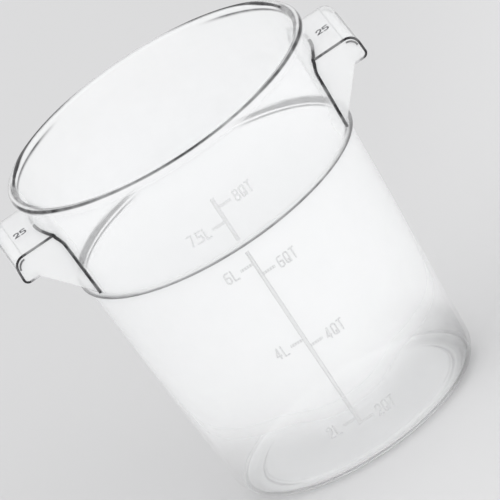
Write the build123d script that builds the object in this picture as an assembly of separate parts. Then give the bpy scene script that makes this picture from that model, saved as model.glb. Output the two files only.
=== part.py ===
from build123d import *
import math
import os

# Clear round container for proofing dough: a drafted tub with a step under its collar, a grip on
# each side and a fill scale printed on the front. Sizes are in millimetres. The origin is the
# middle of the base, Z points up, the grips lie along X and the scale faces -Y.

# Tub, outside: the rim bead carries a lid, and the wall narrows by a taper below it
height = 288.0
rim_radius = 123.0
bead_height = 7.2
bead_overhang = 4.2
bead_edge_radius = 2.4
collar_taper = 3.8
step_drop = 87.0
step_width = 3.6
step_edge_radius = 1.2
body_taper = 12.7
base_corner_radius = 16.0

# Tub, walls and floor: the middle of the floor is raised inside a flat foot ring
wall = 2.8
floor_thickness = 3.0
foot_height = 2.0
foot_width = 3.0
foot_slope_width = 2.0

# Grips: a plate bent down into a lip and in again to a hook, with a gusset at each end
grip_drop = 24.8
grip_overhang = 25.0
grip_half_width = 43.0
grip_wall = 2.8
grip_bend_radius = 9.0
grip_edge_radius = 0.5
lip_drop = 20.0
lip_flare = 1.0
hook_length = 12.4
hook_radius = 4.6
gusset_wall = 2.6
gusset_foot_gap = 4.0

# Printed fill scale: quarts on the right of its line and litres on the left
ink_thickness = 0.2
line_width = 3.0
tick_length = 9.9
tick_width = 2.2
label_gap = 2.6
scale_turn = -2.4  # degrees about Z that the scale is printed off the middle between the grips
unit_letters = {"quart": "QT", "litre": "L"}
grip_number = "25"

# Levels on the scale, as shares of the body's height and of the collar's height above the step
body_line_shares = (0.173, 0.974)
body_mark_shares = {
    ("quart", "6"): 0.868,
    ("quart", "4"): 0.535,
    ("quart", "2"): 0.179,
    ("litre", "6"): 0.921,
    ("litre", "4"): 0.571,
    ("litre", "2"): 0.203,
}
collar_line_shares = (0.080, 0.518)
collar_mark_shares = {("quart", "8"): 0.420, ("litre", "7.5"): 0.281}

# Lettering, drawn with a round pen
letter_height = 8.4
letter_width = 3.3
letter_gap = 2.2
point_gap = 1.8
pen_width = 1.3

# Strokes of each letter: its rounding, whether it closes, and its points, as shares of the letter
letter_stroke_shares = {
    "2": [(0.45, False, [(0, 0.78), (0, 1), (1, 1), (1, 0.55), (0, 0)]), (0, False, [(0, 0), (1, 0)])],
    "4": [(0, False, [(0.72, 0), (0.72, 1)]), (0, False, [(0.72, 1), (0, 0.26), (1, 0.26)])],
    "5": [(0, False, [(1, 1), (0, 1), (0, 0.55)]), (0.45, False, [(0, 0.55), (1, 0.55), (1, 0), (0, 0)])],
    "6": [(0.45, True, [(0, 0), (1, 0), (1, 0.56), (0, 0.56)]), (0.45, False, [(0, 0.28), (0, 1), (1, 1)])],
    "7": [(0, False, [(0, 1), (1, 1), (0.3, 0)])],
    "8": [(0.45, True, [(0, 0), (1, 0), (1, 0.52), (0, 0.52)]),
          (0.45, True, [(0, 0.52), (1, 0.52), (1, 1), (0, 1)])],
    "Q": [(0.48, True, [(0, 0), (1, 0), (1, 1), (0, 1)]), (0, False, [(0.55, 0.28), (1, 0)])],
    "T": [(0, False, [(0, 1), (1, 1)]), (0, False, [(0.5, 1), (0.5, 0)])],
    "L": [(0, False, [(0, 1), (0, 0), (1, 0)])],
}

# Places that follow from the sizes above
step_level = height - step_drop
bead_level = height - bead_height
plate_level = height - grip_drop
lip_level = plate_level - lip_drop
gusset_foot_level = step_level + gusset_foot_gap
collar_top_radius = rim_radius - bead_overhang
collar_foot_radius = collar_top_radius - collar_taper
body_top_radius = collar_foot_radius - step_width
base_radius = body_top_radius - body_taper
floor_corner_radius = base_corner_radius - floor_thickness
foot_inner_radius = base_radius - base_corner_radius - foot_width
lip_reach = rim_radius + grip_overhang
plate_reach = lip_reach - lip_flare
hook_reach = lip_reach - hook_length


def ring_solid(corners, radii):
    """Solid of revolution about Z, from the corners of its section and the rounding of each."""
    outline = FilletPolyline(*[(radius, 0, level) for radius, level in corners], radius=radii, close=True)
    return revolve(make_face(outline), Axis.Z)


def radius_between(low, high, level):
    """Radius at a level on the straight wall between two (radius, level) corners."""
    share = (level - low[1]) / (high[1] - low[1])
    return low[0] + share * (high[0] - low[0])


def body_radius(level):
    return radius_between((base_radius, 0), (body_top_radius, step_level), level)


def collar_radius(level):
    return radius_between((collar_foot_radius, step_level), (collar_top_radius, bead_level), level)


def make_tub():
    """Floor, body, step, collar and rim bead, moulded as one wall."""
    ledge_level = step_level + wall
    raised_floor = floor_thickness + foot_height
    inner_foot_radius = foot_inner_radius - foot_slope_width
    corners = [
        (0, foot_height),
        (inner_foot_radius, foot_height),
        (foot_inner_radius, 0),
        (base_radius, 0),
        (body_top_radius, step_level),
        (collar_foot_radius, step_level),
        (collar_top_radius, bead_level),
        (rim_radius, bead_level),
        (rim_radius, height),
        (collar_radius(height) - wall, height),
        (collar_radius(ledge_level) - wall, ledge_level),
        (body_radius(ledge_level) - wall, ledge_level),
        (body_radius(floor_thickness) - wall, floor_thickness),
        (foot_inner_radius, floor_thickness),
        (inner_foot_radius, raised_floor),
        (0, raised_floor),
    ]
    radii = [0] * len(corners)
    radii[3] = base_corner_radius
    radii[4] = radii[5] = radii[10] = radii[11] = step_edge_radius
    radii[7] = radii[8] = radii[9] = bead_edge_radius
    radii[12] = floor_corner_radius
    return ring_solid(corners, radii)


# Outside of the grip in the XZ plane, from the Z axis out and round to the end of the hook
grip_corners = [(0, plate_level), (plate_reach, plate_level), (lip_reach, lip_level), (hook_reach, lip_level)]
grip_radii = [0, grip_bend_radius, hook_radius, 0]


def side_slab(corners, radii, low_y, high_y):
    """A plate whose outline lies in the XZ plane, between two places along Y."""
    outline = FilletPolyline(*[(x, 0, level) for x, level in corners], radius=radii, close=True)
    slab = extrude(make_face(outline), amount=high_y - low_y, dir=(0, 1, 0))
    return Pos(0, low_y, 0) * slab


def make_plate():
    """Plate, lip and hook of the grip, as one bent sheet of even thickness."""
    inner_corners = [
        (hook_reach, lip_level + grip_wall),
        (lip_reach - grip_wall, lip_level + grip_wall),
        (plate_reach - grip_wall, plate_level - grip_wall),
        (0, plate_level - grip_wall),
    ]
    inner_radii = [0, hook_radius - grip_wall, grip_bend_radius - grip_wall, 0]
    corners = grip_corners + inner_corners
    return side_slab(corners, grip_radii + inner_radii, -grip_half_width, grip_half_width)


def make_gusset(low_y):
    """One end wall of the grip, which fills its section down to a slanted lower edge."""
    wall_reach = math.sqrt(collar_radius(gusset_foot_level) ** 2 - grip_half_width ** 2)
    foot_corners = [(wall_reach - wall, gusset_foot_level), (0, gusset_foot_level)]
    return side_slab(grip_corners + foot_corners, grip_radii + [0, 0], low_y, low_y + gusset_wall)


def make_grip():
    """The grip on +X, with its long outer edges rounded, cut to the slope of the collar."""
    grip = make_plate() + [make_gusset(-grip_half_width), make_gusset(grip_half_width - gusset_wall)]
    long_edges = grip.edges().filter_by(Axis.X).group_by(Axis.Z)[-1]
    core_corners = [
        (0, step_level),
        (collar_foot_radius, step_level),
        (collar_top_radius, bead_level),
        (0, bead_level),
    ]
    return fillet(long_edges, grip_edge_radius) - ring_solid(core_corners, 0)


def stroke_face(rounding_share, closed, point_shares):
    """One pen stroke of a letter, with round ends, its lower left corner at the origin."""
    points = [(x * letter_width, y * letter_height) for x, y in point_shares]
    if rounding_share:
        line = FilletPolyline(*points, radius=rounding_share * letter_width, close=closed)
    else:
        line = Polyline(*points)
    outside = Face(line.offset_2d(pen_width / 2))
    if closed:
        return outside - Face(line.offset_2d(-pen_width / 2))
    return outside


def label_sketch(text):
    """A word in pen strokes, starting at the origin and centred on the X axis, and its length."""
    sketch = Sketch()
    foot = -letter_height / 2
    place = pen_width / 2
    for letter in text:
        if letter == ".":
            place += point_gap - letter_gap
            sketch += Pos(place, foot) * Circle(pen_width / 2)
            place += point_gap
        else:
            for stroke in letter_stroke_shares[letter]:
                sketch += Pos(place, foot) * stroke_face(*stroke)
            place += letter_width + letter_gap
    return sketch, place - letter_gap + pen_width / 2


def wall_film(low, high, radius_at):
    """The thin layer of ink that could cover the outside of the wall between two levels."""
    return ring_solid(
        [
            (radius_at(low), low),
            (radius_at(low) + ink_thickness, low),
            (radius_at(high) + ink_thickness, high),
            (radius_at(high), high),
        ],
        0,
    )


def print_on_front(sketch, film):
    """The part of an ink film that lies in front of a flat drawing, as separate solids."""
    flat = Plane.XZ * sketch
    ink = extrude(flat, amount=rim_radius) & film
    return [Rot(0, 0, scale_turn) * solid for solid in ink.solids()]


def make_mark(unit, number, level, film):
    """A tick beside the scale line and its label, quarts on the right and litres on the left."""
    side = 1 if unit == "quart" else -1
    tick = Pos(side * (line_width + tick_length) / 2, level) * Rectangle(tick_length, tick_width)
    label, length = label_sketch(number + unit_letters[unit])
    label_near = line_width / 2 + tick_length + label_gap
    label_start = label_near if side > 0 else -label_near - length
    return print_on_front(tick, film) + print_on_front(Pos(label_start, level) * label, film)


def make_stretch(name, foot, length, film, line_shares, mark_shares):
    """One stretch of the scale above a foot level: its line and its marks, a list for each node."""
    bottom, top = [foot + share * length for share in line_shares]
    bar = Pos(0, (bottom + top) / 2) * Rectangle(line_width, top - bottom)
    stretch = {f"scale_line_{name}": print_on_front(bar, film)}
    for (unit, number), share in mark_shares.items():
        node = f"{unit}_mark_{number.replace('.', '_')}"
        stretch[node] = make_mark(unit, number, foot + share * length, film)
    return stretch


def make_scale():
    """The fill scale, in one stretch on the body and one on the collar."""
    body_film = wall_film(base_corner_radius, step_level, body_radius)
    collar_film = wall_film(step_level, bead_level, collar_radius)
    lower = make_stretch("lower", 0, step_level, body_film, body_line_shares, body_mark_shares)
    upper = make_stretch("upper", step_level, step_drop, collar_film, collar_line_shares, collar_mark_shares)
    return lower | upper


def make_plain_number(side):
    """A plain number in the middle of the flat of a grip, read from the front."""
    label, length = label_sketch(grip_number)
    flat_middle = (rim_radius + plate_reach - grip_bend_radius) / 2
    place = Pos(side * flat_middle - length / 2, 0, plate_level)
    return extrude(place * label, amount=ink_thickness).solids()


def main():
    os.makedirs("parts", exist_ok=True)
    grip = make_grip()
    nodes = {
        "tub": [make_tub()],
        "grip_right": [grip],
        "grip_left": [Rot(0, 0, 180) * grip],
        "grip_number_right": make_plain_number(1),
        "grip_number_left": make_plain_number(-1),
    }
    nodes.update(make_scale())
    for node, shapes in nodes.items():
        solids = [solid for shape in shapes for solid in shape.solids()]
        export_step(solids[0] if len(solids) == 1 else Compound(solids), f"parts/{node}.step")


main()
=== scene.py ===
import math

import bmesh
import bpy
import numpy as np
from mathutils import Matrix, Vector


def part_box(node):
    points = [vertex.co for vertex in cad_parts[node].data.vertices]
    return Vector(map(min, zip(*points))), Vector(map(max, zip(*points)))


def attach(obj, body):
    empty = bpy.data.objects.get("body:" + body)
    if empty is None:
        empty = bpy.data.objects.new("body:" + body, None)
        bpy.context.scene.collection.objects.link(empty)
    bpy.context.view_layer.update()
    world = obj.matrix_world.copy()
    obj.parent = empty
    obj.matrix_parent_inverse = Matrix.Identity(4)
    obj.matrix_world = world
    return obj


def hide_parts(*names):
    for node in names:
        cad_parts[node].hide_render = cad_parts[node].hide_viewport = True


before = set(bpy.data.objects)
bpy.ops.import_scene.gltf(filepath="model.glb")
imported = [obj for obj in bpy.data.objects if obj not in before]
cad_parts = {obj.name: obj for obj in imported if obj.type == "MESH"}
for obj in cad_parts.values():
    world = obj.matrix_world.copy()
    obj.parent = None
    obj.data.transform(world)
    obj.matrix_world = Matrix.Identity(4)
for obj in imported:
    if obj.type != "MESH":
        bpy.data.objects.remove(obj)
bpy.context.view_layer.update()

# A round clear container for proofing dough, open at the top, with a step under its collar, a grip on
# each side and a printed fill scale. Lengths are in metres. The origin is the middle of the base, Z
# points up, the grips lie along X and the scale faces -Y.
MM = 0.001

# Outside of the tub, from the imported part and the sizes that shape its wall
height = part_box("tub")[1].z
rim_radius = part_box("tub")[1].x
bead_height = 7.2 * MM
bead_overhang = 4.2 * MM
bead_edge_radius = 2.4 * MM
bead_foot_rounding = 0.8 * MM
collar_taper = 3.8 * MM
step_drop = 87.0 * MM
step_width = 3.6 * MM
step_edge_radius = 1.2 * MM
body_taper = 12.7 * MM
base_corner_radius = 16.0 * MM

# Wall and floor of the tub
wall = 2.8 * MM
floor_thickness = 3.0 * MM
floor_ring_rounding = 1.5 * MM
foot_height = 2.0 * MM
foot_width = 3.0 * MM
foot_slope_width = 2.0 * MM
foot_rounding = 0.5 * MM

# Grips
grip_drop = 24.8 * MM
grip_overhang = 25.0 * MM
grip_half_width = 43.0 * MM
grip_wall = 2.8 * MM
grip_bend_radius = 9.0 * MM
grip_edge_radius = 0.7 * MM
lip_drop = 20.0 * MM
lip_flare = 1.0 * MM
hook_length = 12.4 * MM
hook_radius = 4.6 * MM
gusset_wall = 2.6 * MM
gusset_foot_gap = 4.0 * MM

# Levels and radii that follow
step_level = height - step_drop
bead_level = height - bead_height
ledge_level = step_level + wall
raised_floor = floor_thickness + foot_height
plate_level = height - grip_drop
lip_level = plate_level - lip_drop
gusset_foot_level = step_level + gusset_foot_gap
collar_top_radius = rim_radius - bead_overhang
collar_foot_radius = collar_top_radius - collar_taper
body_top_radius = collar_foot_radius - step_width
base_radius = body_top_radius - body_taper
base_turn_radius = base_radius - base_corner_radius
floor_corner_radius = base_corner_radius - floor_thickness
foot_inner_radius = base_turn_radius - foot_width
foot_slope_radius = foot_inner_radius - foot_slope_width
lip_reach = rim_radius + grip_overhang
plate_reach = lip_reach - lip_flare
hook_reach = lip_reach - hook_length

# Fineness of the meshes
turn_segments = 320
arc_steps = 8
fillet_sides = 8
tub_steps = (0.6 * MM, 7 * MM)
grip_steps = (3 * MM, 4 * MM)
step_growth = 1.8
weld_distance = 0.001 * MM


def radius_between(low, high, level):
    """Radius at a level on the straight wall between two (radius, level) corners."""
    share = (level - low[1]) / (high[1] - low[1])
    return low[0] + share * (high[0] - low[0])


def body_radius(level):
    return radius_between((base_radius, 0), (body_top_radius, step_level), level)


def collar_radius(level):
    return radius_between((collar_foot_radius, step_level), (collar_top_radius, bead_level), level)


def smooth_step(low, high, value):
    """0 below low, 1 above high and an even ease between them, on numbers or arrays."""
    share = np.clip((value - low) / (high - low), 0, 1)
    return share * share * (3 - 2 * share)


def follow(course, place):
    """The value at a place on a course: a first value, then changes of (from, to, by how much)."""
    first, *changes = course
    return first + sum(amount * smooth_step(low, high, place) for low, high, amount in changes)


def band(away, half_width, core):
    """1 over the core of a band, which is a share of its half width, then easing to 0 at its edge."""
    return 1 - smooth_step(half_width * core, half_width, away)


# Camera: the photograph looks down at 20 degrees from far away and is rolled by 33.5 degrees
photo_width_px = 500
rim_centre_px = (152.9, 104.6)
px_per_metre = 1398
camera_distance = 12.3
camera_sight = 4 * camera_distance
camera_elevation = math.radians(20.05)
camera_turn = math.radians(1.2)
camera_roll = math.radians(-33.55)
sensor_mm = 36.0


def add_camera():
    """A long lens from the photograph's direction, aimed so that the rim lands where it is there."""
    across = Vector((math.cos(camera_turn), -math.sin(camera_turn), 0))
    ahead = Vector((math.sin(camera_turn), math.cos(camera_turn), 0))
    sine, cosine = math.sin(camera_elevation), math.cos(camera_elevation)
    upward = ahead * sine + Vector((0, 0, cosine))
    inward = ahead * cosine - Vector((0, 0, sine))
    right = across * math.cos(camera_roll) + upward * math.sin(camera_roll)
    top = upward * math.cos(camera_roll) - across * math.sin(camera_roll)
    half = photo_width_px / 2
    aim = (
        Vector((0, 0, height))
        + right * (half - rim_centre_px[0]) / px_per_metre
        - top * (half - rim_centre_px[1]) / px_per_metre
    )
    place = aim - inward * camera_distance
    data = bpy.data.cameras.new("camera")
    data.sensor_width = sensor_mm
    data.lens = sensor_mm * px_per_metre * camera_distance / photo_width_px
    data.clip_end = camera_sight
    camera = bpy.data.objects.new("camera", data)
    turn = Matrix((right, top, -inward)).transposed().to_4x4()
    camera.matrix_world = Matrix.Translation(place) @ turn
    bpy.context.scene.collection.objects.link(camera)
    bpy.context.scene.camera = camera


def link_new(name, mesh):
    """A new object in the scene, at the origin, that shows a mesh."""
    piece = bpy.data.objects.new(name, mesh)
    bpy.context.scene.collection.objects.link(piece)
    return piece


def attribute_value(nodes, name):
    """The number that a piece carries on its points or faces under a name."""
    node = nodes.new("ShaderNodeAttribute")
    node.attribute_name = name
    return node.outputs["Fac"]


def spread(nodes, links, value, low, high):
    """A number from 0 to 1 stretched over another range."""
    node = nodes.new("ShaderNodeMapRange")
    node.inputs["To Min"].default_value = low
    node.inputs["To Max"].default_value = high
    links.new(value, node.inputs["Value"])
    return node.outputs["Result"]


def combine(nodes, links, operation, first, second):
    """Two numbers put together by one step of arithmetic, kept between 0 and 1."""
    node = nodes.new("ShaderNodeMath")
    node.operation = operation
    node.use_clamp = True
    links.new(first, node.inputs[0])
    links.new(second, node.inputs[1])
    return node.outputs[0]


def mixed_colour(nodes, links, share, first, second):
    """A colour between two, at a share of the way."""
    node = nodes.new("ShaderNodeMix")
    node.data_type = "RGBA"
    node.inputs["A"].default_value = first
    node.inputs["B"].default_value = second
    links.new(share, node.inputs["Factor"])
    return node.outputs["Result"]


def object_noise(nodes, links, scale, detail):
    """An uneven pattern that stays with the piece."""
    place = nodes.new("ShaderNodeTexCoord")
    noise = nodes.new("ShaderNodeTexNoise")
    noise.inputs["Scale"].default_value = scale
    noise.inputs["Detail"].default_value = detail
    links.new(place.outputs["Object"], noise.inputs["Vector"])
    return noise.outputs["Fac"]


# Floor, backdrop and light
floor_half_width = 30.0
# The paler right-hand colour is painted light on the floor
left_floor_colour = (0.58, 0.58, 0.585, 1)
right_floor_painted_light_colour = (0.627, 0.627, 0.632, 1)
floor_painted_light_direction = (1, -0.4, 0)
floor_painted_light_reach = 110 * MM
floor_roughness = 0.9
backdrop_colour = (0.70, 0.70, 0.705, 1)
world_strength = 1.07


def add_floor():
    """A plain matt floor with painted light, a little paler on the container's right than on its left."""
    mesh = bpy.data.meshes.new("floor")
    w = floor_half_width
    mesh.from_pydata([(-w, -w, 0), (w, -w, 0), (w, w, 0), (-w, w, 0)], [], [(0, 1, 2, 3)])
    material = bpy.data.materials.new("floor_paint")
    material.use_nodes = True
    nodes, links = material.node_tree.nodes, material.node_tree.links
    shader = nodes["Principled BSDF"]
    place = nodes.new("ShaderNodeTexCoord")
    along = nodes.new("ShaderNodeVectorMath")
    along.operation = "DOT_PRODUCT"
    along.inputs[1].default_value = floor_painted_light_direction
    fade = nodes.new("ShaderNodeMapRange")
    fade.interpolation_type = "SMOOTHSTEP"
    fade.inputs["From Min"].default_value = -floor_painted_light_reach
    fade.inputs["From Max"].default_value = floor_painted_light_reach
    links.new(place.outputs["Object"], along.inputs[0])
    links.new(along.outputs["Value"], fade.inputs["Value"])
    across = fade.outputs["Result"]
    tone = mixed_colour(nodes, links, across, left_floor_colour, right_floor_painted_light_colour)
    links.new(tone, shader.inputs["Base Color"])
    shader.inputs["Roughness"].default_value = floor_roughness
    shader.inputs["Specular IOR Level"].default_value = 0.0
    mesh.materials.append(material)
    link_new("floor", mesh)


def add_world():
    """Even light from all round, and a plain pale backdrop to look at and to reflect."""
    world = bpy.data.worlds.new("studio")
    world.use_nodes = True
    bpy.context.scene.world = world
    nodes, links = world.node_tree.nodes, world.node_tree.links
    light = nodes["Background"]
    light.inputs["Color"].default_value = (1, 1, 1, 1)
    light.inputs["Strength"].default_value = world_strength
    backdrop = nodes.new("ShaderNodeBackground")
    backdrop.inputs["Color"].default_value = backdrop_colour
    path = nodes.new("ShaderNodeLightPath")
    seen = path.outputs["Is Camera Ray"]
    for ray in ("Is Glossy Ray", "Is Transmission Ray"):
        either = nodes.new("ShaderNodeMath")
        either.operation = "MAXIMUM"
        links.new(seen, either.inputs[0])
        links.new(path.outputs[ray], either.inputs[1])
        seen = either.outputs[0]
    mix = nodes.new("ShaderNodeMixShader")
    links.new(seen, mix.inputs["Fac"])
    links.new(light.outputs[0], mix.inputs[1])
    links.new(backdrop.outputs[0], mix.inputs[2])
    links.new(mix.outputs[0], nodes["World Output"].inputs["Surface"])


def add_lamp(name, strength, softness, direction):
    """A soft studio lamp, the same strength everywhere, that shines along a direction."""
    data = bpy.data.lights.new(name, "SUN")
    data.energy = strength
    data.angle = math.radians(softness)
    lamp = bpy.data.objects.new(name, data)
    lamp.rotation_mode = "QUATERNION"
    lamp.rotation_quaternion = Vector(direction).to_track_quat("-Z", "Y")
    bpy.context.scene.collection.objects.link(lamp)


def graded_places(length, fine, coarse):
    """Places along a run, close together at its ends and further apart in its middle."""
    places = [0]
    step = fine
    while places[-1] + step < length / 2:
        places.append(places[-1] + step)
        step = min(step * step_growth, coarse)
    return places + [length - place for place in reversed(places)]


def rounded_line(corners, fine, coarse):
    """Points along a line of (across, up, rounding) corners.

    Its corners are arcs, and the steps between them are fine near the arcs and coarse in the middle.
    """
    points = [Vector(corners[0][:2])]
    for before, (across, up, rounding), after in zip(corners, corners[1:], corners[2:]):
        corner = Vector((across, up))
        if not rounding:
            points.append(corner)
            continue
        back = (Vector(before[:2]) - corner).normalized()
        on = (Vector(after[:2]) - corner).normalized()
        half_angle = back.angle(on) / 2
        start = corner + back * rounding / math.tan(half_angle)
        middle = corner + (back + on).normalized() * rounding / math.sin(half_angle)
        sweep = back.angle_signed(on)
        sweep = math.copysign(math.pi - abs(sweep), sweep)
        for step in range(arc_steps + 1):
            turn = Matrix.Rotation(sweep * step / arc_steps, 2)
            points.append(middle + turn @ (start - middle))
    points.append(Vector(corners[-1][:2]))
    line = [points[0]]
    for start, end in zip(points, points[1:]):
        run = end - start
        places = graded_places(run.length, fine, coarse)
        line += [start + run.normalized() * place for place in places[1:]]
    return line


def tub_section():
    """Section of the tub, from the axis over the floor, up inside, over the rim and down outside."""
    corners = [
        (0, raised_floor, 0),
        (foot_slope_radius, raised_floor, floor_ring_rounding),
        (foot_inner_radius, floor_thickness, floor_ring_rounding),
        (body_radius(floor_thickness) - wall, floor_thickness, floor_corner_radius),
        (body_radius(ledge_level) - wall, ledge_level, step_edge_radius),
        (collar_radius(ledge_level) - wall, ledge_level, step_edge_radius),
        (collar_radius(height) - wall, height, bead_edge_radius),
        (rim_radius, height, bead_edge_radius),
        (rim_radius, bead_level, bead_foot_rounding),
        (collar_top_radius, bead_level, bead_foot_rounding),
        (collar_foot_radius, step_level, step_edge_radius),
        (body_top_radius, step_level, step_edge_radius),
        (base_radius, 0, base_corner_radius),
        (foot_inner_radius, 0, foot_rounding),
        (foot_slope_radius, foot_height, foot_rounding),
        (0, foot_height, 0),
    ]
    return rounded_line(corners, *tub_steps)


def new_tree(name, sizes):
    """A geometry tree with a mesh in and out and named inputs for its sizes."""
    tree = bpy.data.node_groups.new(name, "GeometryNodeTree")
    tree.interface.new_socket("Geometry", in_out="INPUT", socket_type="NodeSocketGeometry")
    for size, kind in sizes.items():
        tree.interface.new_socket(size, in_out="INPUT", socket_type=kind)
    tree.interface.new_socket("Geometry", in_out="OUTPUT", socket_type="NodeSocketGeometry")
    return tree, tree.nodes.new("NodeGroupInput"), tree.nodes.new("NodeGroupOutput")


def end_tree(tree, given, made, geometry):
    """Ends a geometry tree with a smooth real mesh in the given material."""
    nodes, links = tree.nodes, tree.links
    smooth = nodes.new("GeometryNodeSetShadeSmooth")
    real = nodes.new("GeometryNodeRealizeInstances")
    paint = nodes.new("GeometryNodeSetMaterial")
    links.new(geometry, smooth.inputs["Geometry"])
    links.new(smooth.outputs["Geometry"], real.inputs["Geometry"])
    links.new(real.outputs["Geometry"], paint.inputs["Geometry"])
    links.new(given.outputs["Material"], paint.inputs["Material"])
    links.new(paint.outputs["Geometry"], made.inputs["Geometry"])


def turning_tree():
    """Sweeps a section round the Z axis and closes it at the axis."""
    sizes = {
        "Path radius": "NodeSocketFloat",
        "Segments": "NodeSocketInt",
        "Material": "NodeSocketMaterial",
    }
    tree, given, made = new_tree("turned_moulding", sizes)
    nodes, links = tree.nodes, tree.links
    section = nodes.new("GeometryNodeMeshToCurve")
    path = nodes.new("GeometryNodeCurvePrimitiveCircle")
    sweep = nodes.new("GeometryNodeCurveToMesh")
    merge = nodes.new("GeometryNodeMergeByDistance")
    merge.inputs["Distance"].default_value = weld_distance
    links.new(given.outputs["Geometry"], section.inputs["Mesh"])
    links.new(given.outputs["Path radius"], path.inputs["Radius"])
    links.new(given.outputs["Segments"], path.inputs["Resolution"])
    links.new(path.outputs["Curve"], sweep.inputs["Curve"])
    links.new(section.outputs["Curve"], sweep.inputs["Profile Curve"])
    links.new(sweep.outputs["Mesh"], merge.inputs["Geometry"])
    end_tree(tree, given, made, merge.outputs["Geometry"])
    return tree


def fillet_tree():
    """Runs a thin round fillet along a line, closed at its ends, for the grips' lines of painted shade.
    """
    sizes = {
        "Fillet radius": "NodeSocketFloat",
        "Fillet sides": "NodeSocketInt",
        "Material": "NodeSocketMaterial",
    }
    tree, given, made = new_tree("painted_shade_fillet", sizes)
    nodes, links = tree.nodes, tree.links
    line = nodes.new("GeometryNodeMeshToCurve")
    round_section = nodes.new("GeometryNodeCurvePrimitiveCircle")
    sweep = nodes.new("GeometryNodeCurveToMesh")
    sweep.inputs["Fill Caps"].default_value = True
    links.new(given.outputs["Geometry"], line.inputs["Mesh"])
    links.new(given.outputs["Fillet radius"], round_section.inputs["Radius"])
    links.new(given.outputs["Fillet sides"], round_section.inputs["Resolution"])
    links.new(line.outputs["Curve"], sweep.inputs["Curve"])
    links.new(round_section.outputs["Curve"], sweep.inputs["Profile Curve"])
    end_tree(tree, given, made, sweep.outputs["Mesh"])
    return tree


def line_mesh(name, points):
    """A mesh that is only a line through points."""
    mesh = bpy.data.meshes.new(name)
    mesh.from_pydata(points, [(i, i + 1) for i in range(len(points) - 1)], [])
    return mesh


def applied(piece):
    """The piece as its modifiers leave it, as a new object with a plain mesh."""
    evaluated = piece.evaluated_get(bpy.context.evaluated_depsgraph_get())
    mesh = bpy.data.meshes.new_from_object(evaluated)
    name = piece.name
    piece.modifiers.clear()
    bpy.data.objects.remove(piece)
    return link_new(name, mesh)


def run_tree(name, source, tree, values):
    """The plain mesh that a geometry tree makes of a source mesh, as a new object."""
    holder = link_new(name, source)
    modifier = holder.modifiers.new("tree", "NODES")
    modifier.node_group = tree
    for item in tree.interface.items_tree:
        if item.item_type == "SOCKET" and item.in_out == "INPUT" and item.name in values:
            modifier[item.identifier] = values[item.name]
    return applied(holder)


def set_values(mesh, name, domain, values):
    """Writes one number for each point or face of a mesh, which its material reads by name."""
    attribute = mesh.attributes.new(name, "FLOAT", domain)
    attribute.data.foreach_set("value", np.asarray(values, np.float32))


def places_of(items, field):
    """The places of a mesh's points, or the middles of its faces, as an array of rows."""
    places = np.zeros(len(items) * 3)
    items.foreach_get(field, places)
    return places.reshape(-1, 3)


# The tub carries two numbers on each point: shade, which is painted shade where a moulded edge bends
# the light, and haze, which is how milky the wall is, partly the plastic's own milk and partly painted
# light. Both go from 0 to 1. A turn is the angle round the tub from its nearer grip, in degrees: 90 at
# the back and -90 at the front. A value that changes round the tub is a course along the turns, as
# follow reads it. The core of a band is the share that is fully dark.
side_blend = 20 * MM
line_core = 0.4
corner_core = 0.3


class TubPoints:
    """Where the tub's points are, and the lines and bands of painted shade that can be laid over them."""

    def __init__(self, mesh):
        x, y, self.level = places_of(mesh.vertices, "co").T
        self.radius = np.hypot(x, y)
        self.turn = np.degrees(np.arctan2(y, np.abs(x)))
        self.to_right = smooth_step(-side_blend, side_blend, x)
        # The angle round the corner of the base goes from -90 under the floor to 0 at the wall, and
        # the corner has an outer skin and an inner one, as the wall has
        out, up = self.radius - base_turn_radius, self.level - base_corner_radius
        self.corner_turn = np.degrees(np.arctan2(up, out))
        self.at_corner = (up < 0) & (out > 0)
        self.outer_skin = np.hypot(out, up) > base_corner_radius - floor_thickness / 2
        surface = np.where(self.level > step_level, collar_radius(self.level), body_radius(self.level))
        self.inside = self.radius < surface - wall / 2

    def line(self, radius, level, half_width, darkness):
        """A line of painted shade round the tub, at a radius and a level."""
        away = np.hypot(self.radius - radius, self.level - level)
        return darkness * band(away, half_width, line_core)

    def ring(self, radius, half_width, core):
        """A band round the tub at a radius, whatever the level."""
        return band(np.abs(self.radius - radius), half_width, core)

    def corner(self, middle, half_width):
        """A band round the tub on the corner of the base, to both sides of an angle of that corner."""
        return self.at_corner * band(np.abs(self.corner_turn - middle), half_width, corner_core)

    def by_side(self, left, right):
        """A value that changes over the middle of the tub from one on its left to one on its right."""
        return left + (right - left) * self.to_right

    def by_skin(self, inner, outer):
        """One value on the inner skin of the wall and another on the outer."""
        return np.where(self.inside, inner, outer)


# Painted shade on the outer edge of the rim in front of the grips, where the plastic bends the light,
# lower and wider towards them, and a fainter second line inside it
rim_line_inset = (1.2 * MM, (-72, -35, -0.495 * MM), (-38, -17, -0.605 * MM))
rim_line_drop = (0.5 * MM, (-72, -35, 0.45 * MM), (-38, -17, 0.55 * MM))
rim_line_half_width = (1.8 * MM, (-45, -22, 0.4 * MM))
rim_line_darkness = (0.86, (-86, -76, -0.17), (-65, -46, 0.17), (-28, -16, 0.14), (-12, 4, -0.75))
second_line_inset = 2.8 * MM
second_line_half_width = 1.2 * MM
second_line_darkness = (0, (-70, -50, 0.55), (-30, -10, -0.55))

# Arc of painted shade that crosses the rim, from its inner edge beside the grip to its outer edge
# further back
arc_inset = (6.0 * MM, (14, 54, -4.5 * MM))
arc_half_width = (1.6 * MM, (15, 45, 1.0 * MM))
arc_core = 0.55
arc_inner_drop = 1.3 * MM
arc_outer_drop = 2.2 * MM
arc_turns = (0, (5, 13, 1), (56, 78, -1))
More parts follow.
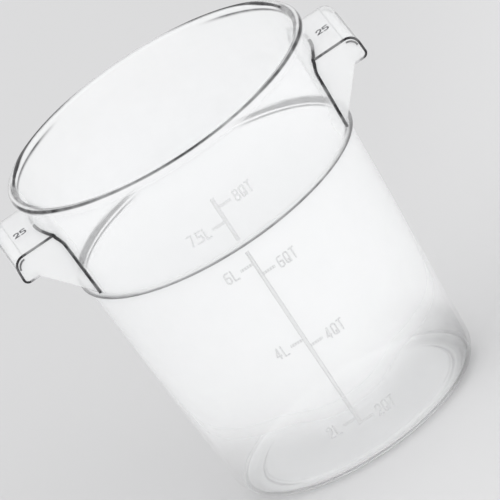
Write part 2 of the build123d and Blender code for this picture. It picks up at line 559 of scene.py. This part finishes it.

# Band of grey painted shade with two darker edges along the inside of the rim beside the grips
rim_band_turns = (0, (-26, -14, 1), (7, 19, -1))
rim_band_inset = 5.3 * MM
rim_band_half_width = 2.4 * MM
rim_band_core = 0.79
rim_band_drop = 5.0 * MM
rim_band_darkness = 0.6
band_inner_inset = 6.6 * MM
band_inner_drop = 1.6 * MM
band_inner_half_width = 1.0 * MM
band_inner_darkness = 0.75
band_outer_inset = 3.6 * MM
band_outer_half_width = 0.8 * MM
band_outer_darkness = 0.7

# Line of painted shade low on the inside of the rim behind the grips
throat_drop = 4.5 * MM
throat_half_width = 1.4 * MM
throat_darkness = (0, (3, 14, 0.9), (42, 60, -0.9))


def rim_shade(at):
    """The painted shade on the rim's edges."""
    outside = at.line(
        rim_radius - follow(rim_line_inset, at.turn),
        height - follow(rim_line_drop, at.turn),
        follow(rim_line_half_width, at.turn),
        follow(rim_line_darkness, at.turn),
    )
    second_line = at.line(
        rim_radius - second_line_inset,
        height,
        second_line_half_width,
        follow(second_line_darkness, at.turn),
    )
    arc_radius = rim_radius - follow(arc_inset, at.turn)
    arc_drop = np.where(at.radius > rim_radius - bead_edge_radius, arc_outer_drop, arc_inner_drop)
    arc = at.ring(arc_radius, follow(arc_half_width, at.turn), arc_core)
    arc *= (at.level > height - arc_drop) * follow(arc_turns, at.turn)
    beside = follow(rim_band_turns, at.turn)
    grey = at.ring(rim_radius - rim_band_inset, rim_band_half_width, rim_band_core)
    grey *= rim_band_darkness * (at.level > height - rim_band_drop) * beside
    band_inner = at.line(
        rim_radius - band_inner_inset,
        height - band_inner_drop,
        band_inner_half_width,
        band_inner_darkness * beside,
    )
    band_outer = at.line(
        rim_radius - band_outer_inset, height, band_outer_half_width, band_outer_darkness * beside
    )
    throat = at.line(
        collar_radius(height) - wall,
        height - throat_drop,
        throat_half_width,
        follow(throat_darkness, at.turn),
    )
    return [outside, second_line, arc, grey, band_inner, band_outer, throat]


# Line of painted shade under the collar, and the wedge it widens to beside the grips
step_line_inset = 0.3 * MM
step_line_lift = 0.9 * MM
step_line_half_width = (2.0 * MM, (-55, -22, 1.8 * MM))
step_line_darkness = 0.62
wedge_half_width = (2.0 * MM, (-36, -14, 6.0 * MM))
wedge_darkness = (0, (-36, -24, 0.55), (-4, 8, -0.55))
wedge_left_share = 0.35

# Painted shade on the edges of the step and of the ledge inside it, as they show through the wall at
# the back
far_step_turns = (0, (10, 22, 1), (54, 72, -1))
under_step_inset = 1.8 * MM
under_step_half_width = 2.4 * MM
under_step_darkness = 0.4
ledge_inset = 0.3 * MM
ledge_lift = 1.1 * MM
ledge_half_width = (3.7 * MM, (32, 60, -1.7 * MM))
ledge_edge_drop = 1.6 * MM
ledge_edge_half_width = 1.1 * MM


def step_shade(at):
    """The painted shade on the edges of the step and of the ledge inside it."""
    line = at.line(
        collar_foot_radius - step_line_inset,
        step_level + step_line_lift,
        follow(step_line_half_width, at.turn),
        step_line_darkness,
    )
    wedge = at.line(
        collar_foot_radius,
        step_level + step_line_lift,
        follow(wedge_half_width, at.turn),
        follow(wedge_darkness, at.turn) * at.by_side(wedge_left_share, 1),
    )
    far = follow(far_step_turns, at.turn)
    under = at.line(
        collar_foot_radius - under_step_inset,
        step_level,
        under_step_half_width,
        under_step_darkness * far,
    )
    ledge = at.line(
        collar_foot_radius - wall - ledge_inset,
        ledge_level + ledge_lift,
        follow(ledge_half_width, at.turn),
        far,
    )
    ledge_edge = at.line(
        body_top_radius - wall, ledge_level - ledge_edge_drop, ledge_edge_half_width, far
    )
    return [line, wedge, under, ledge, ledge_edge]


# Painted shade on the rounded corner of the base: a thin line all round outside, and a broad band on
# both skins that is darker beside than in front. Angles are round the corner, in degrees, and a pair
# is for the left and the right.
base_line_middle = -68
base_line_half_width = 14
base_line_darkness = 0.02
base_front_turns = (0, (-70, -30, 1), (5, 30, -1))
base_side_turns = (0, (-50, -15, 1), (35, 60, -1))
outer_corner_middle = -56
outer_corner_half_width = 30
outer_corner_darkness = (0.02, 0.15)
inner_corner_middle = -58
inner_corner_half_width = 34
inner_corner_darkness = 0.05
inner_corner_side_darkness = (0.05, 0.22)

# Painted shade on the lowest part of the wall and on the two edges of the ring in the floor
low_wall_levels = (1, (18 * MM, 42 * MM, -1))
low_wall_darkness = (0.035, 0.14)
ring_outer_half_width = 1.5 * MM
ring_outer_darkness = 0.03
ring_outer_side_darkness = 0.21
ring_inner_half_width = 1.2 * MM
ring_inner_darkness = 0.04
ring_inner_side_darkness = 0.08


def base_shade(at):
    """The painted shade on the corner of the base, the wall above it and the ring in the floor."""
    beside = follow(base_side_turns, at.turn)
    line = at.corner(base_line_middle, base_line_half_width) * base_line_darkness * at.outer_skin
    outer_corner = at.corner(outer_corner_middle, outer_corner_half_width) * at.outer_skin
    outer_corner *= at.by_side(*outer_corner_darkness) * follow(base_front_turns, at.turn)
    inner_corner = at.corner(inner_corner_middle, inner_corner_half_width) * ~at.outer_skin
    inner_corner *= inner_corner_darkness + at.by_side(*inner_corner_side_darkness) * beside
    low_wall = follow(low_wall_levels, at.level) * (at.radius > base_turn_radius)
    low_wall *= at.by_side(*low_wall_darkness) * beside
    ring_outer = at.line(
        foot_inner_radius,
        floor_thickness,
        ring_outer_half_width,
        ring_outer_darkness + ring_outer_side_darkness * beside,
    )
    ring_inner = at.line(
        foot_slope_radius,
        raised_floor,
        ring_inner_half_width,
        ring_inner_darkness + ring_inner_side_darkness * beside,
    )
    return [line, outer_corner, inner_corner, low_wall, ring_outer, ring_inner]


# Haze of the body: clear near the base, and milky from lowest in the middle of the front. The milk is
# partly the plastic's own and partly painted light, which whitens the inner skin more than the outer
# and brightens the floor. A pair is for the inner and the outer skin.
clear_haze = 0.06
clear_top = (24 * MM, (-84, -58, 11 * MM))
milk_above_clear = (0, (0, 45 * MM, 0.4), (10 * MM, 110 * MM, 0.6))
body_haze_gain = (0.79, 0.46)
floor_haze_and_painted_light = 0.5
floor_skin = 0.5 * MM
clear_corner_middle = -75
clear_corner_half_width = 40
clear_foot_level = 2.5 * MM

# Haze of the collar, milkier low down and towards the back, where it is partly painted light that
# whitens the far wall, and of the rim's bead
collar_blend = 2 * MM
collar_haze = (0.3, 0.24)
far_collar_turns = (0, (-20, 40, 1))
far_collar_painted_light = (0.17, 0.08)
far_low_collar_painted_light = (0.4, 0.15)
low_collar_levels = (1, (step_level + 10 * MM, bead_level - 2 * MM, -1))
bead_haze = 0.22
bead_side_margin = 0.5 * MM
bead_foot_margin = 1.0 * MM


def tub_haze_and_painted_light(at):
    """How milky the tub's walls are: their own milk, and painted light that whitens them."""
    milk = follow(milk_above_clear, at.level - follow(clear_top, at.turn))
    body = clear_haze + at.by_skin(*body_haze_gain) * milk
    on_floor = at.inside & (at.level < raised_floor + floor_skin)
    body = np.where(on_floor, floor_haze_and_painted_light, body)
    clear_corner = at.corner(clear_corner_middle, clear_corner_half_width)
    body *= 1 - at.outer_skin * np.maximum(clear_corner, at.level < clear_foot_level)
    low_collar = follow(low_collar_levels, at.level)
    far_painted_light = at.by_skin(*far_collar_painted_light) + at.by_skin(*far_low_collar_painted_light) * low_collar
    collar = at.by_skin(*collar_haze) + follow(far_collar_turns, at.turn) * far_painted_light
    above_step = smooth_step(step_level - collar_blend, step_level + collar_blend, at.level)
    haze_and_painted_light = collar * above_step + body * (1 - above_step)
    on_bead = at.radius > collar_top_radius + bead_side_margin
    on_bead &= at.level > bead_level - bead_foot_margin
    return np.where(on_bead, bead_haze, haze_and_painted_light)


# Clear plastic with its painted shade, and printed ink. A pair is the range that a noise is spread over.
clear_tone = (0.95, 0.955, 0.96, 1)
# Colour of the painted shade
painted_shade_tone = (0.012, 0.012, 0.014, 1)
plastic_ior = 1.5
edge_noise_scale = 80
edge_noise_detail = 2
edge_unevenness = (0.6, 1.4)
mottle_scale = 18
mottle_detail = 4
mottle_unevenness = (0.92, 1.08)
plastic_roughness = (0.14, 0.3)
ink_grain_scale = 700
ink_grain_detail = 3
ink_unevenness = 0.2
ink_roughness = (0.4, 0.6)


def plastic_with_painted_shade():
    """Clear plastic with a little milk in it, and painted shade where a moulded edge bends the light."""
    material = bpy.data.materials.new("milky_plastic_with_painted_shade")
    material.use_nodes = True
    nodes, links = material.node_tree.nodes, material.node_tree.links
    shader = nodes["Principled BSDF"]
    shader.inputs["IOR"].default_value = plastic_ior
    # The shade read here is painted shade, made uneven by a noise
    edge_noise = object_noise(nodes, links, edge_noise_scale, edge_noise_detail)
    uneven = spread(nodes, links, edge_noise, *edge_unevenness)
    shade = combine(nodes, links, "MULTIPLY", attribute_value(nodes, "shade"), uneven)
    mottle = object_noise(nodes, links, mottle_scale, mottle_detail)
    mottled = spread(nodes, links, mottle, *mottle_unevenness)
    milk = combine(nodes, links, "MULTIPLY", attribute_value(nodes, "haze_and_painted_light"), mottled)
    # The milk gives way where an edge has painted shade
    milk_left = combine(nodes, links, "MULTIPLY", milk, spread(nodes, links, shade, 1, 0))
    cover = combine(nodes, links, "ADD", shade, milk_left)
    painted_shade_share = combine(nodes, links, "DIVIDE", shade, cover)
    tone = mixed_colour(nodes, links, painted_shade_share, clear_tone, painted_shade_tone)
    links.new(tone, shader.inputs["Base Color"])
    links.new(cover, shader.inputs["Alpha"])
    links.new(spread(nodes, links, mottle, *plastic_roughness), shader.inputs["Roughness"])
    return material


def printed_ink(name, colour, cover):
    """Thin printed ink, a little uneven, that lets the plastic show through."""
    material = bpy.data.materials.new(name)
    material.use_nodes = True
    nodes, links = material.node_tree.nodes, material.node_tree.links
    shader = nodes["Principled BSDF"]
    shader.inputs["Base Color"].default_value = colour
    grain = object_noise(nodes, links, ink_grain_scale, ink_grain_detail)
    thin, thick = cover * (1 - ink_unevenness), cover * (1 + ink_unevenness)
    links.new(spread(nodes, links, grain, thin, thick), shader.inputs["Alpha"])
    links.new(spread(nodes, links, grain, *ink_roughness), shader.inputs["Roughness"])
    return material


def add_tub(material):
    """The whole moulded tub, turned from its section."""
    # The section is set back by the radius of the circle that it is swept along
    path_radius = 1.0
    points = [(across - path_radius, -up, 0) for across, up in tub_section()]
    values = {"Path radius": path_radius, "Segments": turn_segments, "Material": material}
    tub = run_tree("tub_moulding", line_mesh("tub_section", points), turning_tree(), values)
    at = TubPoints(tub.data)
    shades = rim_shade(at) + step_shade(at) + base_shade(at)
    set_values(tub.data, "shade", "POINT", np.max(shades, axis=0))
    set_values(tub.data, "haze_and_painted_light", "POINT", tub_haze_and_painted_light(at))
    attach(tub, "root")
    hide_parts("tub")


# The grip's section in the XZ plane, on the right, from inside the collar out and round to its hook
root_reach = 100.0 * MM
outer_corners = [
    (root_reach, plate_level, 0),
    (plate_reach, plate_level, grip_bend_radius),
    (lip_reach, lip_level, hook_radius),
    (hook_reach, lip_level, 0),
]
inner_corners = [
    (hook_reach, lip_level + grip_wall, 0),
    (lip_reach - grip_wall, lip_level + grip_wall, hook_radius - grip_wall),
    (plate_reach - grip_wall, plate_level - grip_wall, grip_bend_radius - grip_wall),
    (root_reach, plate_level - grip_wall, 0),
]

# How the grip is finished
grip_haze = 0.38
root_sink = 0.4 * MM
bevel_segments = 4
bevel_from_degrees = 50
sharp_from_degrees = 35


def grip_line(corners):
    return rounded_line(corners, *grip_steps)


def grip_block():
    """Plate, lip and hook as one bent sheet with a gusset at each end, all sharp, as one closed mesh."""
    outer = grip_line(outer_corners)
    inner = grip_line(inner_corners)
    wall_reach = math.sqrt(collar_radius(gusset_foot_level) ** 2 - grip_half_width ** 2)
    foot = [(wall_reach - wall, gusset_foot_level), (root_reach, gusset_foot_level)]
    inside = grip_half_width - gusset_wall
    block = bmesh.new()

    def row(line, y):
        return [block.verts.new((x, y, z)) for x, z in line]

    def strip(first, second):
        for corners in zip(first, first[1:], second[1:], second):
            block.faces.new(corners)

    # Rows of points on both faces of each gusset: along the outside, the inside and the gusset's foot
    outer_rows = [row(outer, y) for y in (-grip_half_width, -inside, inside, grip_half_width)]
    inner_rows = [row(inner, y) for y in (-inside, inside)]
    foot_rows = [
        row(foot + inner[-1:], -grip_half_width),
        row(foot, -inside) + inner_rows[0][-1:],
        row(foot, inside) + inner_rows[1][-1:],
        row(foot + inner[-1:], grip_half_width),
    ]
    # The outside of the sheet, then its inside with the ends of the hook and of the root
    for first, second in zip(outer_rows, outer_rows[1:]):
        strip(first, second)
    linings = [
        [outer_row[-1]] + inner_row + [outer_row[0]]
        for outer_row, inner_row in zip(outer_rows[1:3], inner_rows)
    ]
    strip(linings[0], linings[1])
    # The undersides and roots of both gussets, then their outer and their inner faces
    undersides = [
        [outer_row[-1]] + foot_row + [outer_row[0]]
        for outer_row, foot_row in zip(outer_rows, foot_rows)
    ]
    strip(undersides[0], undersides[1])
    strip(undersides[2], undersides[3])
    for i in (0, 3):
        block.faces.new(outer_rows[i] + foot_rows[i])
    for i in (1, 2):
        block.faces.new(inner_rows[i - 1] + foot_rows[i][1::-1] + [outer_rows[i][-1]])
    bmesh.ops.recalc_face_normals(block, faces=block.faces)
    mesh = bpy.data.meshes.new("grip_block")
    block.to_mesh(mesh)
    block.free()
    return link_new("grip_block", mesh)


def collar_core():
    """The cone just inside the collar's outer surface, which cuts the grips' roots."""
    low, high = step_level - wall, bead_level
    points = []
    for level in (low, high):
        radius = collar_radius(level) - root_sink
        for i in range(turn_segments):
            angle = 2 * math.pi * i / turn_segments
            points.append((radius * math.cos(angle), radius * math.sin(angle), level))
    turned = [(i + 1) % turn_segments for i in range(turn_segments)]
    sides = [(i, on, on + turn_segments, i + turn_segments) for i, on in enumerate(turned)]
    bottom = tuple(range(turn_segments - 1, -1, -1))
    top = tuple(range(turn_segments, 2 * turn_segments))
    mesh = bpy.data.meshes.new("collar_core")
    mesh.from_pydata(points, [], sides + [bottom, top])
    return link_new("collar_core", mesh)


def cut_away(piece, other):
    """A piece with another shape cut out of it. The other shape is used up."""
    modifier = piece.modifiers.new("cut", "BOOLEAN")
    modifier.operation = "DIFFERENCE"
    modifier.solver = "EXACT"
    modifier.object = other
    result = applied(piece)
    bpy.data.objects.remove(other)
    return result


def grip_shell(material):
    """The right grip with its edges rounded, cut to the slope of the collar, in an even haze."""
    block = grip_block()
    bevel = block.modifiers.new("rounded_edges", "BEVEL")
    bevel.width = grip_edge_radius
    bevel.segments = bevel_segments
    bevel.limit_method = "ANGLE"
    bevel.angle_limit = math.radians(bevel_from_degrees)
    bevel.use_clamp_overlap = False
    shell = cut_away(applied(block), collar_core())
    mesh = shell.data
    mesh.materials.clear()
    mesh.materials.append(material)
    count = len(mesh.polygons)
    set_values(mesh, "shade", "FACE", np.zeros(count))
    set_values(mesh, "haze_and_painted_light", "FACE", np.full(count, grip_haze))
    mesh.polygons.foreach_set("use_smooth", np.ones(count, bool))
    mesh.set_sharp_from_angle(angle=math.radians(sharp_from_degrees))
    return shell


# Line where the grip meets the collar: its places along the plate and down the gusset
plate_root_start = 3.4 * MM
plate_root_points = 24
plate_root_flare = (0.8 * MM, (25 * MM, grip_half_width, 0.9 * MM))
gusset_root_gap = 2 * MM
gusset_root_lift = 3 * MM
gusset_root_points = 32
root_flare = (0, (plate_level - 10 * MM, plate_level, 2.8 * MM))
root_set_back = 0.9 * MM
root_proud = 0.2 * MM


def root_line():
    """Where the right grip's front meets the collar: along the plate and down the gusset."""
    points = []
    for y in np.linspace(plate_root_start, grip_half_width, plate_root_points):
        radius = collar_radius(plate_level) + follow(plate_root_flare, y)
        points.append((math.sqrt(radius ** 2 - y ** 2), -y, plate_level))
    top = plate_level - gusset_root_gap
    foot = gusset_foot_level + gusset_root_lift
    for level in np.linspace(top, foot, gusset_root_points):
        radius = collar_radius(level)
        at_wall = math.sqrt(radius ** 2 - grip_half_width ** 2)
        reach = at_wall - root_set_back + follow(root_flare, level)
        wall_side = math.sqrt(max(radius ** 2 - reach ** 2, 0))
        points.append((reach, -max(wall_side, grip_half_width) - root_proud, level))
    return points


# Lines along the grip's outer edge and inner bend
edge_inset = 1.0 * MM
edge_lift = 0.7 * MM
edge_proud = 0.4 * MM
bend_proud = 0.2 * MM
bend_overrun = 2.0 * MM
row_points = 5


def edge_line():
    """The outer edge of the right grip's front, from the collar out, over the bend and round the hook."""
    points = []
    outline = grip_line(outer_corners)
    for before, (x, z), after in zip(outline[:1] + outline, outline, outline[1:] + outline[-1:]):
        run = Vector(after) - Vector(before)
        inward = Vector((run.y, -run.x)).normalized()
        inward *= edge_inset - edge_lift * abs(inward.y)
        points.append((x + inward.x, edge_inset - edge_proud - grip_half_width, z + inward.y))
    start = math.sqrt(collar_radius(plate_level) ** 2 - grip_half_width ** 2)
    return [point for point in points if point[0] > start]


def bend_line():
    """The inner corner between the right grip's bend and its front gusset."""
    bend = [(x, z) for x, z in grip_line(inner_corners) if x > plate_reach - grip_bend_radius]
    side = -grip_half_width - bend_proud
    return [(x, side, z) for x, z in bend if z > plate_level - grip_bend_radius - bend_overrun]


def row_line(x, z):
    """A straight line along the right grip, from its front to its back."""
    side = grip_half_width - 2 * edge_inset
    return [(x, y, z) for y in np.linspace(-side, side, row_points)]


# How dark the painted shade along those lines is. The root is paler along the middle of the plate. The
# outer edge is darkest round the bend and the lip, and hardly dark under the hook.
root_darkness = (0.5, (14 * MM, 36 * MM, 0.5))
edge_darkness = (0.83, (118 * MM, 126 * MM, -0.15), (plate_reach - 14 * MM, plate_reach - 7 * MM, 0.24))
hook_darkness = (0.15, (lip_reach - 9 * MM, lip_reach - 4 * MM, 0.85))
hook_rise = 2.5 * MM
bend_darkness = 0.75
row_darkness = 0.62


def root_shade(places):
    return follow(root_darkness, np.abs(places[:, 1]))


def edge_shade(places):
    reach, level = np.abs(places[:, 0]), places[:, 2]
    at_hook = level < lip_level + hook_rise
    return follow(edge_darkness, reach) * np.where(at_hook, follow(hook_darkness, reach), 1)


def bend_shade(places):
    return np.full(len(places), bend_darkness)


def row_shade(places):
    return np.full(len(places), row_darkness)


def add_shade_fillet(name, points, radius, shade_at, strength, material):
    """A thin fillet along a line of the grip, dark with painted shade where the plastic bends the light.
    """
    values = {"Fillet radius": radius, "Fillet sides": fillet_sides, "Material": material}
    fillet = run_tree(name, line_mesh(name, points), fillet_tree(), values)
    shades = strength * shade_at(places_of(fillet.data.polygons, "center"))
    set_values(fillet.data, "shade", "FACE", shades)
    set_values(fillet.data, "haze_and_painted_light", "FACE", shades)
    return fillet


def join(pieces, name):
    """Several pieces as one mesh."""
    with bpy.context.temp_override(active_object=pieces[0], selected_editable_objects=pieces):
        bpy.ops.object.join()
    pieces[0].name = name
    pieces[0].data.name = name
    return pieces[0]


def mirrored(points):
    return [(x, -y, z) for x, y, z in points]


# Fillets at each end of the grip, thin dark tubes of painted shade where the plastic bends the light:
# name, line, radius, how dark along it, and how fast it fades from the front to the back
end_shade_fillets = [
    ("root_shade_fillet", root_line, 1.35 * MM, root_shade, 1),
    ("edge_shade_fillet", edge_line, 1.0 * MM, edge_shade, 2),
    ("bend_shade_fillet", bend_line, 0.7 * MM, bend_shade, 1),
]
# Strength of the painted shade at the front end and at the back end of the grip
front_strength = 1.0
back_strength = 0.3

# Fillets along the bend, thin dark tubes of painted shade: name, how far out and how high, radius and
# strength
bend_shade_rows = [
    ("bend_end_shade_row", plate_reach - 0.3 * MM, plate_level - grip_bend_radius, 0.6 * MM, 1.0),
    ("bend_start_shade_row", plate_reach - grip_bend_radius, plate_level - 0.2 * MM, 0.4 * MM, 0.2),
]


def add_grip(side, material):
    """One grip with its fillets of painted shade. The left one is made as the right one and turned round.
    """
    strengths = [front_strength, back_strength]
    if side == "left":
        strengths.reverse()
    pieces = [grip_shell(material)]
    for flip, strength in zip((list, mirrored), strengths):
        for name, line, radius, shade_at, fading in end_shade_fillets:
            fillet = add_shade_fillet(name, flip(line()), radius, shade_at, strength ** fading, material)
            pieces.append(fillet)
    for name, x, z, radius, strength in bend_shade_rows:
        pieces.append(add_shade_fillet(name, row_line(x, z), radius, row_shade, strength, material))
    grip = join(pieces, f"grip_with_shade_fillets_{side}")
    if side == "left":
        grip.data.transform(Matrix.Rotation(math.pi, 4, "Z"))
    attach(grip, "root")
    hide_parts(f"grip_{side}")


def paint_print():
    """The printed scale and the plain numbers on the grips."""
    pale = printed_ink("pale_scale_ink", colour=(0.6, 0.6, 0.6, 1), cover=0.19)
    dark = printed_ink("dark_number_ink", colour=(0.1, 0.1, 0.11, 1), cover=0.75)
    inks = {"scale_line": pale, "quart_mark": pale, "litre_mark": pale, "grip_number": dark}
    for name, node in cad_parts.items():
        for start, ink in inks.items():
            if name.startswith(start):
                node.data.materials.clear()
                node.data.materials.append(ink)


bpy.context.scene.view_settings.view_transform = "Standard"
bpy.context.scene.cycles.transparent_max_bounces = 32
add_camera()
add_floor()
add_world()
add_lamp("key_lamp", strength=0.8, softness=60, direction=(-0.65, 0.7, -0.3))
add_lamp("fill_lamp", strength=0.76, softness=80, direction=(0.85, 0.45, -0.3))
clear = plastic_with_painted_shade()
add_tub(clear)
for side in ("right", "left"):
    add_grip(side, clear)
paint_print()
